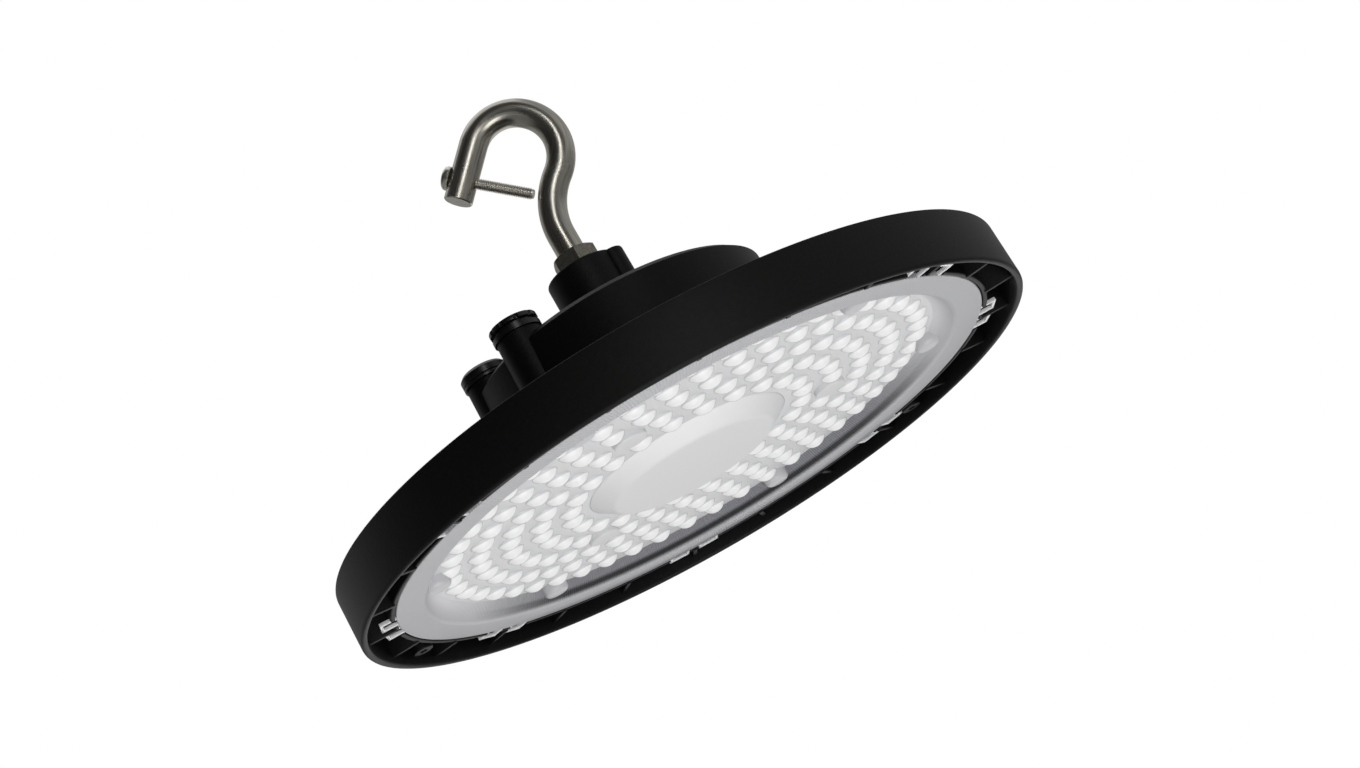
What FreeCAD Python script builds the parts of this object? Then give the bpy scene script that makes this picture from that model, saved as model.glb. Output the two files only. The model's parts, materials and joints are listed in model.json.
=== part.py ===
import FreeCAD, Part
import math
import os
import re
import Sketcher

# Round high bay light: a black die-cast heat sink ring with an open vent gap, a clear lens
# plate with five rings of lenslets, a driver drum with two cable ports and a lifting hook.
# Millimetres. Z points up toward the hook; the origin is on the axis at the rim's bottom.

os.makedirs("parts", exist_ok=True)
doc = FreeCAD.newDocument("HighBayLight")
sheet = doc.addObject("Spreadsheet::Sheet", "Sizes")

SIZES = [
    ("band_radius", 150.0), ("band_wall", 3.0), ("band_height", 22.8), ("lip_round", 1.4),
    ("pocket_radius", 133.7), ("pocket_wall", 2.0), ("pocket_lip", 4.2),
    ("ledge_radius", 123.5), ("ledge_face", 8.3),
    ("deck_face", 18.0), ("deck_top", 22.0), ("lead_hole_radius", 8.0),
    ("seat_inner", 52.0), ("seat_outer", 72.0), ("seat_top", 27.0),
    ("fin_count", 24), ("fin_turn", 8.25), ("fin_width", 2.2), ("fin_gap", 0.2),
    ("fin_peak", 46.0), ("fin_shoulder", 24.0), ("rib_face", 3.6),
    ("short_fin_end", 128.0), ("short_fin_turn", 0.75),
    ("guard_boss_ring", 141.0), ("guard_boss_radius", 4.6), ("guard_hole_radius", 1.65),
    ("guard_web_face", 11.0), ("guard_count", 3), ("guard_turn", 46.0), ("guard_hole_depth", 12.0),
    ("flange_radius", 133.2), ("flange_face", 4.4), ("flange_back", 6.8),
    ("flange_inner", 121.5), ("moat_foot", 114.2), ("floor_face", 11.4), ("floor_back", 13.4),
    ("cap_base", 44.9), ("cap_flat", 36.2), ("cap_face", 5.4), ("cap_wall", 2.0),
    ("lenslet_radius", 5.3), ("lenslet_waist", 4.3), ("lenslet_crown", 2.0),
    ("lenslet_tip", 8.4), ("lenslet_shoulder", 9.9), ("lenslet_root", 12.2),
    ("blank_ring", 67.0), ("blank_radius", 7.0), ("blank_face", 9.4), ("blank_turn", 16.1),
    ("cover_ring", 113.5), ("cover_radius", 5.9), ("cover_face", 6.6), ("cover_turn", 15.0),
    ("tab_reach", 140.2), ("tab_width", 10.3), ("tab_thick", 1.6), ("tab_turn", 8.3),
    ("tab_spread", 3.2), ("tab_root", 130.0), ("tab_eye", 7.7), ("tab_tip", 1.3), ("tab_play", 0.12),
    ("board_radius", 119.5), ("board_face", 16.1), ("board_back", 17.7),
    ("led_side", 3.0), ("led_height", 0.7),
    ("board_screw_radius", 1.5), ("board_head_radius", 2.75), ("board_head_height", 1.9),
    ("board_screw_depth", 20.6),
    ("gasket_inner", 124.6), ("gasket_outer", 131.2),
    ("drum_foot", 28.0), ("drum_radius", 67.6), ("drum_shoulder_radius", 65.8),
    ("drum_shoulder", 67.7), ("drum_top_radius", 62.8), ("drum_top", 70.0),
    ("roof_bend_radius", 47.5), ("roof_bend", 71.5), ("chamber_bend", 67.9),
    ("drum_flange_radius", 71.5), ("drum_flange_top", 31.5), ("drum_wall", 3.2),
    ("roof_rise", 84.0), ("chamber_roof", 66.4), ("chamber_peak", 79.6),
    ("boss_radius", 16.3), ("boss_top", 102.0), ("boss_round", 1.2),
    ("lobe_reach", 14.9), ("lobe_radius", 5.2), ("lobe_top", 101.6), ("lobe_turn", -19.7),
    ("lobe_foot", 78.0),
    ("port_ring_a", 59.7), ("port_ring_b", 58.7), ("port_radius", 10.3), ("port_draft", 0.9),
    ("port_seat_a", 73.6), ("port_seat_b", 73.0), ("port_bore", 6.2),
    ("port_turn_a", -124.7), ("port_turn_b", -159.3), ("port_skirt_top", 56.0),
    ("port_shell", 7.2), ("o_ring_inner", 6.6), ("o_ring_outer", 8.4), ("o_ring_depth", 1.0),
    ("drum_screw_ring", 60.0), ("drum_screw_count", 6), ("drum_screw_turn", 38.0),
    ("drum_screw_radius", 2.0), ("drum_screw_boss", 5.0), ("drum_screw_boss_top", 46.0),
    ("drum_screw_end", 41.0), ("drum_head_radius", 3.5), ("drum_head_face", 18.4),
    ("drum_head_seat", 22.4), ("drum_gasket_inner", 54.0), ("drum_gasket_outer", 70.5),
    ("screw_play", 0.05), ("head_play", 0.5),
    ("hook_rod", 6.2), ("hook_foot", 84.0), ("neck_start", 120.2), ("neck_radius", 33.3),
    ("neck_bend", 49.5), ("loop_radius", 21.15), ("crown_turn", 49.5), ("crown_radius", 18.0),
    ("loop_end_angle", 137.5),
    ("tip_length", 26.1), ("gate_hole_along", 16.6), ("gate_seat", 5.7),
    ("gate_radius", 2.5), ("gate_length", 37.0), ("gate_head_radius", 5.2),
    ("gate_head_height", 3.4), ("gate_drive_radius", 1.5), ("gate_drive_depth", 2.0),
    ("nut_flats", 18.0), ("nut_turn", 40.0), ("nut_height", 8.4), ("nut_bevel", 1.1),
    ("lock_radius", 2.0), ("lock_foot", 88.0), ("lock_sink", 0.8), ("lock_drive", 1.0),
    ("tray_radius", 51.5), ("tray_floor", 1.6), ("tray_rim", 1.6), ("tray_lip", 29.5),
    ("post_ring", 42.0), ("post_radius", 4.0), ("post_top", 32.0), ("post_turn", 45.0),
    ("card_radius", 49.5), ("card_top", 33.6), ("card_screw_foot", 19.6),
    ("card_head_height", 1.8),
]
for row, (alias, number) in enumerate(SIZES, 1):
    sheet.set("A%d" % row, str(number))
    sheet.setAlias("A%d" % row, alias)
NAMES = {alias for alias, number in SIZES}
doc.recompute()


def bound(text):
    """Rewrite plain size names as references into the spreadsheet."""
    return re.sub(r"[a-z_]{3,}", lambda m: "Sizes." + m.group(0) if m.group(0) in NAMES
                  else m.group(0), str(text))


def val(text):
    return float(sheet.evalExpression(bound(text)))


def new_body(label):
    body = doc.addObject("PartDesign::Body", label)
    body.AllowCompound = True
    return body


def origin_of(body, role):
    return next(f for f in body.Origin.OriginFeatures if f.Role == role)


def blank_sketch(body, name, role, height, turn):
    sketch = body.newObject("Sketcher::SketchObject", name)
    sketch.AttachmentSupport = [(origin_of(body, role), "")]
    sketch.MapMode = "FlatFace"
    axis = FreeCAD.Vector(0, 0, 1) if role == "XY_Plane" else FreeCAD.Vector(0, 1, 0)
    lift = FreeCAD.Vector(0, 0, val(height))
    sketch.AttachmentOffset = FreeCAD.Placement(lift, FreeCAD.Rotation(axis, val(turn)))
    if height != "0":
        sketch.setExpression("AttachmentOffset.Base.z", bound(height))
    return sketch


def pin_point(sketch, geo, pos, x, y):
    k = sketch.addConstraint(Sketcher.Constraint("DistanceX", -1, 1, geo, pos, val(x)))
    sketch.setExpression("Constraints[%d]" % k, bound(x))
    k = sketch.addConstraint(Sketcher.Constraint("DistanceY", -1, 1, geo, pos, val(y)))
    sketch.setExpression("Constraints[%d]" % k, bound(y))


def outline(body, name, points, role="XZ_Plane", height="0", turn="0"):
    sketch = blank_sketch(body, name, role, height, turn)
    corners = [FreeCAD.Vector(val(x), val(y), 0) for x, y in points]
    count = len(corners)
    sketch.addGeometry([Part.LineSegment(corners[i], corners[(i + 1) % count])
                        for i in range(count)], False)
    for i in range(count):
        sketch.addConstraint(Sketcher.Constraint("Coincident", i, 2, (i + 1) % count, 1))
    for i, (x, y) in enumerate(points):
        pin_point(sketch, i, 1, x, y)
    return sketch


def circles(body, name, rounds, height="0", turn="0"):
    sketch = blank_sketch(body, name, "XY_Plane", height, turn)
    for i, (reach, radius) in enumerate(rounds):
        middle = FreeCAD.Vector(val(reach), 0, 0)
        sketch.addGeometry(Part.Circle(middle, FreeCAD.Vector(0, 0, 1), val(radius)), False)
        pin_point(sketch, i, 3, reach, "0")
        k = sketch.addConstraint(Sketcher.Constraint("Radius", i, val(radius)))
        sketch.setExpression("Constraints[%d]" % k, bound(radius))
    return sketch


def revolve(body, name, points, kind="PartDesign::Revolution"):
    feature = body.newObject(kind, name)
    feature.Profile = outline(body, name + "_profile", points)
    feature.ReferenceAxis = (feature.Profile[0], ["V_Axis"])
    feature.Angle = 360
    body.Tip = feature
    return feature


def groove(body, name, points):
    return revolve(body, name, points, "PartDesign::Groove")


def extrude(body, name, sketch, length, kind="PartDesign::Pad", both=False):
    feature = body.newObject(kind, name)
    feature.Profile = sketch
    feature.Length = val(length)
    feature.setExpression("Length", bound(length))
    feature.SideType = "Symmetric" if both else "One side"
    feature.Refine = False
    body.Tip = feature
    return feature


def pocket(body, name, sketch, length, both=False):
    return extrude(body, name, sketch, length, "PartDesign::Pocket", both)


def around(body, name, features, count):
    feature = body.newObject("PartDesign::PolarPattern", name)
    feature.Originals = features
    feature.Axis = (origin_of(body, "Z_Axis"), [""])
    feature.Angle = 360
    feature.Occurrences = int(val(count))
    feature.setExpression("Occurrences", bound(count))
    feature.Refine = False
    body.Tip = feature
    return feature


def posts(body, name, reach, radius, foot, length, turn, count):
    pad = extrude(body, name, circles(body, name + "_round", [(reach, radius)], foot, turn), length)
    return around(body, name + "_set", [pad], count)


def holes(body, name, reach, radius, top, depth, turn, count):
    cut = pocket(body, name, circles(body, name + "_round", [(reach, radius)], top, turn), depth)
    return around(body, name + "_set", [cut], count)


# Heat sink casting
sink = new_body("heat_sink")
revolve(sink, "Deck", [
    ("lead_hole_radius", "deck_face"), ("ledge_radius", "deck_face"),
    ("ledge_radius", "ledge_face"), ("pocket_radius", "ledge_face"),
    ("pocket_radius", "pocket_lip"), ("pocket_radius + pocket_wall", "pocket_lip"),
    ("pocket_radius + pocket_wall", "deck_top"), ("seat_outer", "deck_top"),
    ("seat_outer", "seat_top"), ("seat_inner", "seat_top"), ("seat_inner", "deck_top"),
    ("lead_hole_radius", "deck_top")])
revolve(sink, "Band", [
    ("band_radius - band_wall", "lip_round"), ("band_radius - band_wall + lip_round", "0"),
    ("band_radius - lip_round", "0"), ("band_radius", "lip_round"),
    ("band_radius", "band_height - lip_round / 2"),
    ("band_radius - lip_round / 2", "band_height"),
    ("band_radius - band_wall", "band_height")])
posts(sink, "GuardBoss", "guard_boss_ring", "guard_boss_radius", "rib_face",
      "band_height - rib_face - 1.2", "guard_turn", "guard_count")
web = extrude(sink, "GuardWeb", outline(sink, "GuardWebRect", [
    ("pocket_radius + pocket_wall / 2", "-guard_boss_radius"),
    ("band_radius - band_wall / 2", "-guard_boss_radius"),
    ("band_radius - band_wall / 2", "guard_boss_radius"),
    ("pocket_radius + pocket_wall / 2", "guard_boss_radius")], "XY_Plane", "guard_web_face",
    "guard_turn"), "band_height - 1.2 - guard_web_face")
around(sink, "GuardWebs", [web], "guard_count")
holes(sink, "GuardHole", "guard_boss_ring", "guard_hole_radius", "rib_face + guard_hole_depth",
      "guard_hole_depth + 1", "guard_turn", "guard_count")
holes(sink, "DrumScrewHole", "drum_screw_ring", "drum_screw_radius + 0.2", "seat_top + 1",
      "seat_top + 2 - deck_face", "drum_screw_turn", "drum_screw_count")
holes(sink, "DrumScrewHead", "drum_screw_ring", "drum_head_radius + head_play",
      "drum_head_seat", "drum_head_seat - deck_face + 1", "drum_screw_turn", "drum_screw_count")
holes(sink, "BoardHoleOuter", "cover_ring", "board_screw_radius + screw_play",
      "board_screw_depth + 0.3", "board_screw_depth + 1 - deck_face", "cover_turn", "6")
holes(sink, "BoardHoleInner", "blank_ring", "board_screw_radius + screw_play",
      "board_screw_depth + 0.3", "board_screw_depth + 1 - deck_face", "blank_turn", "3")
holes(sink, "CardHole", "post_ring", "board_screw_radius + screw_play", "deck_top + 1",
      "deck_top + 1.4 - card_screw_foot", "post_turn", "4")
window_a = pocket(sink, "TabWindowA", outline(sink, "TabWindowRectA", [
    ("pocket_radius - 2", "-tab_width / 2 - tab_play"),
    ("pocket_radius + pocket_wall + 2", "-tab_width / 2 - tab_play"),
    ("pocket_radius + pocket_wall + 2", "tab_width / 2 + tab_play"),
    ("pocket_radius - 2", "tab_width / 2 + tab_play")], "XY_Plane",
    "flange_face + 0.2 + tab_thick + tab_play", "tab_turn - tab_spread"),
    "tab_thick + 1")
window_b = pocket(sink, "TabWindowB", outline(sink, "TabWindowRectB", [
    ("pocket_radius - 2", "-tab_width / 2 - tab_play"),
    ("pocket_radius + pocket_wall + 2", "-tab_width / 2 - tab_play"),
    ("pocket_radius + pocket_wall + 2", "tab_width / 2 + tab_play"),
    ("pocket_radius - 2", "tab_width / 2 + tab_play")], "XY_Plane",
    "flange_face + 0.2 + tab_thick + tab_play", "tab_turn + tab_spread"),
    "tab_thick + 1")
around(sink, "TabWindows", [window_a, window_b], "8")
long_fin = extrude(sink, "LongFin", outline(sink, "LongFinSide", [
    ("seat_outer - 1", "deck_top - 1"), ("pocket_radius + pocket_wall - 1", "deck_top - 1"),
    ("pocket_radius + pocket_wall - 1", "rib_face"), ("band_radius - band_wall / 2", "rib_face"),
    ("band_radius - band_wall / 2", "band_height - 1.2"),
    ("pocket_radius", "fin_shoulder"), ("seat_outer + 1", "fin_peak"),
    ("seat_outer + fin_gap", "fin_peak"), ("seat_outer + fin_gap", "seat_top"),
    ("seat_outer - 1", "seat_top")],
    turn="fin_turn"), "fin_width", both=True)
short_fin = extrude(sink, "ShortFin", outline(sink, "ShortFinSide", [
    ("seat_outer - 1", "deck_top - 1"), ("short_fin_end", "deck_top - 1"),
    ("short_fin_end - 2", "fin_shoulder"), ("seat_outer + 1", "fin_peak - 1.5"),
    ("seat_outer + fin_gap", "fin_peak - 1.5"), ("seat_outer + fin_gap", "seat_top"),
    ("seat_outer - 1", "seat_top")],
    turn="short_fin_turn"), "fin_width", both=True)
around(sink, "Fins", [long_fin, short_fin], "fin_count")

# Lens moulding: flange, moat wall, floor and raised centre cap in one skin
skin = new_body("lens_skin")
revolve(skin, "Skin", [
    ("0", "cap_face"), ("cap_flat", "cap_face"), ("cap_base", "floor_face"),
    ("moat_foot", "floor_face"), ("moat_foot + 1.2", "floor_face - 1.2"),
    ("flange_inner - 1.3", "flange_face + 0.7"), ("flange_inner", "flange_face"),
    ("flange_radius", "flange_face"), ("flange_radius", "flange_back"),
    ("flange_inner + 0.6", "flange_back"), ("moat_foot + 1.2", "floor_back"),
    ("cap_base - 1.2", "floor_back"), ("cap_flat - 1.1", "cap_face + cap_wall"),
    ("0", "cap_face + cap_wall")])
posts(skin, "Blank", "blank_ring", "blank_radius", "blank_face", "floor_face + 0.8 - blank_face",
      "blank_turn", "3")
posts(skin, "Cover", "cover_ring", "cover_radius", "cover_face", "floor_face + 0.8 - cover_face",
      "cover_turn", "6")
tabs = []
for side, turn in (("A", "tab_turn - tab_spread"), ("B", "tab_turn + tab_spread")):
    tabs.append(extrude(skin, "Tab" + side, outline(skin, "TabRect" + side, [
        ("tab_root", "-tab_width / 2"), ("tab_reach", "-tab_width / 2"),
        ("tab_reach", "tab_width / 2"), ("tab_root", "tab_width / 2")], "XY_Plane",
        "flange_face + 0.2", turn), "tab_thick"))
    tabs.append(pocket(skin, "TabEye" + side, outline(skin, "TabEyeRect" + side, [
        ("pocket_radius", "-tab_eye / 2"), ("tab_reach - tab_tip", "-tab_eye / 2"),
        ("tab_reach - tab_tip", "tab_eye / 2"), ("pocket_radius", "tab_eye / 2")],
        "XY_Plane", "flange_face + 1 + tab_thick", turn), "tab_thick + 2"))
around(skin, "Tabs", tabs, "8")

# Lenslet rings: ring radius, number of places, first azimuth; three places of the fourth
# ring are left for the flat blanks
LENSLET_RINGS = [(107.0, 48, 0.8), (94.0, 42, 7.2), (80.5, 36, 4.9), (67.0, 30, 4.1),
                 (53.5, 24, 0.6)]
LENSLET_SIDES = 6


def polar_point(reach, azimuth, height):
    a = math.radians(azimuth)
    return FreeCAD.Vector(reach * math.cos(a), reach * math.sin(a), height)


def lenslet(reach, azimuth):
    centre = polar_point(reach, azimuth, 0)
    levels = []
    for radius, height in (("lenslet_radius", "lenslet_root"),
                           ("lenslet_waist", "lenslet_shoulder"),
                           ("lenslet_crown", "lenslet_tip")):
        levels.append([centre + polar_point(val(radius), azimuth + 360 * i / LENSLET_SIDES,
                                            val(height)) for i in range(LENSLET_SIDES)])
    faces = [Part.Face(Part.makePolygon(end + end[:1])) for end in (levels[0], levels[-1])]
    for low, high in zip(levels, levels[1:]):
        for i in range(LENSLET_SIDES):
            j = (i + 1) % LENSLET_SIDES
            faces.append(Part.Face(Part.makePolygon([low[i], low[j], high[j], high[i], low[i]])))
    return Part.makeSolid(Part.makeShell(faces))


def lens_places():
    blanks = [val("blank_turn") + 120 * k for k in range(3)]
    for reach, count, first in LENSLET_RINGS:
        for k in range(count):
            azimuth = first + 360 * k / count
            taken = any(abs((azimuth - b + 180) % 360 - 180) < 5 for b in blanks)
            if not (taken and reach == val("blank_ring")):
                yield reach, azimuth


lenslets = doc.addObject("Part::Feature", "lenslets")
lenslets.Shape = Part.makeCompound([lenslet(*place) for place in lens_places()])
lens = doc.addObject("Part::MultiFuse", "lens_plate")
lens.Shapes = [skin, lenslets]
lens.Refine = False

# Sealing ring between the lens flange and the casting ledge
lens_seal = new_body("lens_gasket")
revolve(lens_seal, "Seal", [("gasket_inner", "flange_back"), ("gasket_outer", "flange_back"),
                            ("gasket_outer", "ledge_face"), ("gasket_inner", "ledge_face")])

# LED board with one emitter over every lenslet, on a thermal pad
board = new_body("led_board")
revolve(board, "Plate", [("lead_hole_radius", "board_face"), ("board_radius", "board_face"),
                         ("board_radius", "board_back"), ("lead_hole_radius", "board_back")])
holes(board, "OuterHole", "cover_ring", "board_screw_radius + 0.2", "board_back + 1",
      "board_back - board_face + 2", "cover_turn", "6")
holes(board, "InnerHole", "blank_ring", "board_screw_radius + 0.2", "board_back + 1",
      "board_back - board_face + 2", "blank_turn", "3")
pad = new_body("thermal_pad")
revolve(pad, "Sheet", [("lead_hole_radius + 1", "board_back"), ("board_radius - 1", "board_back"),
                       ("board_radius - 1", "deck_face"), ("lead_hole_radius + 1", "deck_face")])
holes(pad, "OuterHole", "cover_ring", "board_screw_radius + 0.4", "deck_face + 1",
      "deck_face - board_back + 2", "cover_turn", "6")
holes(pad, "InnerHole", "blank_ring", "board_screw_radius + 0.4", "deck_face + 1",
      "deck_face - board_back + 2", "blank_turn", "3")
emitters = []
for reach, azimuth in lens_places():
    side = val("led_side")
    box = Part.makeBox(side, side, val("led_height"),
                       FreeCAD.Vector(reach - side / 2, -side / 2, val("board_face - led_height")))
    box.rotate(FreeCAD.Vector(0, 0, 0), FreeCAD.Vector(0, 0, 1), azimuth)
    emitters.append(box)
leds = doc.addObject("Part::Feature", "leds")
leds.Shape = Part.makeCompound(emitters)

screws = new_body("board_screws")
for name, reach, turn, count in (("Outer", "cover_ring", "cover_turn", "6"),
                                 ("Inner", "blank_ring", "blank_turn", "3")):
    head = extrude(screws, name + "Head", circles(screws, name + "HeadRound", [
        (reach, "board_head_radius")], "board_face - board_head_height", turn),
        "board_head_height")
    shank = extrude(screws, name + "Shank", circles(screws, name + "ShankRound", [
        (reach, "board_screw_radius")], "board_face - 0.5", turn),
        "board_screw_depth - board_face + 0.5")
    around(screws, name + "Set", [head, shank], count)

plug_block = new_body("led_connector")
extrude(plug_block, "Foot", outline(plug_block, "FootRect", [
    ("-11", "-4"), ("11", "-4"), ("11", "4"), ("-11", "4")], "XY_Plane", "board_face - 1.4"),
    "1.4")
extrude(plug_block, "Block", outline(plug_block, "BlockRect", [
    ("-5", "-3"), ("5", "-3"), ("5", "3"), ("-5", "3")], "XY_Plane", "board_face"),
    "deck_top - board_face")
leads = new_body("led_leads")
extrude(leads, "LeadPair", circles(leads, "LeadRounds", [("-2.5", "0.9"), ("2.5", "0.9")],
                                   "deck_top"), "post_top - deck_top")

# Driver drum casting with the hook boss, its lock-screw lobe and two port columns
drum = new_body("driver_housing")
revolve(drum, "Shell", [
    ("drum_gasket_inner + 8", "drum_foot"), ("drum_flange_radius", "drum_foot"),
    ("drum_flange_radius", "drum_flange_top"), ("drum_radius", "drum_flange_top + 1"),
    ("drum_shoulder_radius", "drum_shoulder"), ("drum_top_radius", "drum_top"),
    ("roof_bend_radius", "roof_bend"), ("boss_radius", "roof_rise"), ("boss_radius", "boss_top - boss_round"),
    ("boss_radius - boss_round", "boss_top"), ("0", "boss_top"), ("0", "chamber_peak"),
    ("boss_radius - 2", "chamber_peak"), ("roof_bend_radius", "chamber_bend"),
    ("drum_top_radius - drum_wall", "chamber_roof"),
    ("drum_shoulder_radius - drum_wall", "chamber_roof - 2"),
    ("drum_radius - drum_wall", "drum_flange_top"),
    ("drum_gasket_inner + 8", "drum_flange_top - 1")])
for side in ("a", "b"):
    column = extrude(drum, "Column_" + side, circles(drum, "ColumnRound_" + side, [
        ("port_ring_" + side, "port_radius")], "drum_foot", "port_turn_" + side),
        "port_seat_" + side + " - drum_foot")
    column.TaperAngle = -val("port_draft")
    column.setExpression("TaperAngle", "-" + bound("port_draft"))
groove(drum, "Chamber", [
    ("0", "drum_foot - 1"), ("drum_gasket_inner + 8", "drum_foot - 1"),
    ("drum_gasket_inner + 8", "port_skirt_top"), ("0", "port_skirt_top")])
for side in ("a", "b"):
    seat = "port_seat_" + side
    turn = "port_turn_" + side
    pocket(drum, "ColumnRoom_" + side, circles(drum, "ColumnRoomRound_" + side, [
        ("port_ring_" + side, "port_shell")], "port_skirt_top", turn),
        "port_skirt_top - drum_flange_top")
    pocket(drum, "PortBore_" + side, circles(drum, "PortBoreRound_" + side, [
        ("port_ring_" + side, "port_bore")], seat + " + 1", turn), seat + " + 2 - port_skirt_top")
    pocket(drum, "RingSeat_" + side, circles(drum, "RingSeatRound_" + side, [
        ("port_ring_" + side, "o_ring_outer + 0.1")], seat + " + 1", turn), "o_ring_depth + 1")
extrude(drum, "Lobe", circles(drum, "LobeRound", [("lobe_reach", "lobe_radius")], "lobe_foot",
                              "lobe_turn"), "lobe_top - lobe_foot")
posts(drum, "ScrewBoss", "drum_screw_ring", "drum_screw_boss", "drum_foot",
      "drum_screw_boss_top - drum_foot", "drum_screw_turn", "drum_screw_count")
holes(drum, "ScrewHole", "drum_screw_ring", "drum_screw_radius + screw_play",
      "drum_screw_end + 1.5", "drum_screw_end + 2.5 - drum_foot", "drum_screw_turn",
      "drum_screw_count")
pocket(drum, "HookBore", circles(drum, "HookBoreRound", [("0", "hook_rod + screw_play")],
                                 "boss_top + 1"), "boss_top + 1 - hook_foot")
pocket(drum, "LockBore", circles(drum, "LockBoreRound", [
    ("lobe_reach", "lock_radius + screw_play")], "lobe_top + 1", "lobe_turn"),
    "lobe_top + 1 - lock_foot")

drum_seal = new_body("housing_gasket")
revolve(drum_seal, "Seal", [
    ("drum_gasket_inner", "seat_top"), ("drum_gasket_outer", "seat_top"),
    ("drum_gasket_outer", "drum_foot"), ("drum_gasket_inner", "drum_foot")])
holes(drum_seal, "ScrewHole", "drum_screw_ring", "drum_screw_radius + 0.6", "drum_foot + 1",
      "drum_foot - seat_top + 2", "drum_screw_turn", "drum_screw_count")

drum_screws = new_body("housing_screws")
head = extrude(drum_screws, "Head", circles(drum_screws, "HeadRound", [
    ("drum_screw_ring", "drum_head_radius")], "drum_head_face", "drum_screw_turn"),
    "drum_head_seat - drum_head_face")
shank = extrude(drum_screws, "Shank", circles(drum_screws, "ShankRound", [
    ("drum_screw_ring", "drum_screw_radius")], "drum_head_seat - 0.5", "drum_screw_turn"),
    "drum_screw_end - drum_head_seat + 0.5")
around(drum_screws, "Set", [head, shank], "drum_screw_count")

# Driver electronics on an insulating tray
tray = new_body("driver_tray")
revolve(tray, "Cup", [
    ("lead_hole_radius", "deck_top"), ("tray_radius", "deck_top"), ("tray_radius", "tray_lip"),
    ("tray_radius - tray_rim", "tray_lip"), ("tray_radius - tray_rim", "deck_top + tray_floor"),
    ("lead_hole_radius", "deck_top + tray_floor")])
posts(tray, "Post", "post_ring", "post_radius", "deck_top", "post_top - deck_top",
      "post_turn", "4")
holes(tray, "PostHole", "post_ring", "board_screw_radius + 0.2", "post_top + 1",
      "post_top - deck_top + 2", "post_turn", "4")
card = new_body("driver_board")
extrude(card, "Card", circles(card, "CardRound", [("0", "card_radius")], "post_top"),
        "card_top - post_top")
holes(card, "CardHole", "post_ring", "board_screw_radius + 0.2", "card_top + 1",
      "card_top - post_top + 2", "post_turn", "4")
card_screws = new_body("driver_screws")
head = extrude(card_screws, "Head", circles(card_screws, "HeadRound", [
    ("post_ring", "board_head_radius")], "card_top", "post_turn"), "card_head_height")
shank = extrude(card_screws, "Shank", circles(card_screws, "ShankRound", [
    ("post_ring", "board_screw_radius")], "card_screw_foot", "post_turn"),
    "card_top + 0.5 - card_screw_foot")
around(card_screws, "Set", [head, shank], "4")


def block(label, x, y, wide, deep, tall, foot="card_top"):
    body = new_body(label)
    extrude(body, "Block", outline(body, "BlockRect", [
        (x - wide / 2, y - deep / 2), (x + wide / 2, y - deep / 2),
        (x + wide / 2, y + deep / 2), (x - wide / 2, y + deep / 2)], "XY_Plane", foot), tall)
    return body


transformer = block("transformer", 4.0, 0.0, 27.0, 22.0, "4")
extrude(transformer, "Winding", circles(transformer, "WindingRound", [("4", "9")],
                                        "card_top + 4"), "14")
extrude(transformer, "Core", outline(transformer, "CoreRect", [
    ("-8", "-6"), ("16", "-6"), ("16", "6"), ("-8", "6")], "XY_Plane", "card_top + 18"), "5")
terminals = block("input_terminals", -26.0, -6.0, 12.0, 22.0, "13")
for i, middle in enumerate((-13.0, -6.0, 1.0)):
    pocket(terminals, "Entry%d" % i, outline(terminals, "EntryRect%d" % i, [
        ("-30", middle - 2), ("-22", middle - 2), ("-22", middle + 2), ("-30", middle + 2)],
        "XY_Plane", "card_top + 14"), "6")
choke = new_body("choke")
revolve(choke, "Coil", [("3", "0"), ("9", "0"), ("10", "1"), ("10", "9"), ("9", "10"),
                        ("3", "10")])
choke.Placement = FreeCAD.Placement(FreeCAD.Vector(28, -14, val("card_top")), FreeCAD.Rotation())
cans = new_body("capacitors")
for i, (reach, turn) in enumerate((("34", "97"), ("34", "120"), ("20", "-75"))):
    extrude(cans, "Can%d" % i, circles(cans, "CanRound%d" % i, [(reach, "6.25")], "card_top",
                                       turn), "22")

# Lifting hook: one bent rod with a drilled tip
loop_end = val("loop_end_angle")
leg_way = FreeCAD.Vector(-math.sin(math.radians(loop_end)), 0, math.cos(math.radians(loop_end)))
gate_way = FreeCAD.Vector(leg_way.z, 0, -leg_way.x)


def in_plane(x, z, reach=0.0, angle=0.0):
    turn = math.radians(angle)
    return FreeCAD.Vector(x + reach * math.cos(turn), 0, z + reach * math.sin(turn))


LOOP_X = "neck_radius - (neck_radius + loop_radius) * cos(neck_bend)"
LOOP_Z = "neck_start + (neck_radius + loop_radius) * sin(neck_bend)"
loop_middle = in_plane(val(LOOP_X), val(LOOP_Z))
crown_middle = in_plane(loop_middle.x, loop_middle.z, val("loop_radius - crown_radius"),
                        val("crown_turn"))
leg_start = in_plane(crown_middle.x, crown_middle.z, val("crown_radius"), loop_end)
gate_middle = leg_start + leg_way * val("gate_hole_along")

rod = new_body("hook_rod")
path = blank_sketch(rod, "RodPath", "XZ_Plane", "0", "0")


def flat(vector):
    return FreeCAD.Vector(vector.x, vector.z, 0)


def bend(middle, radius, first, last):
    return Part.ArcOfCircle(Part.Circle(middle, up, val(radius)), math.radians(first),
                            math.radians(last))


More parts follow.
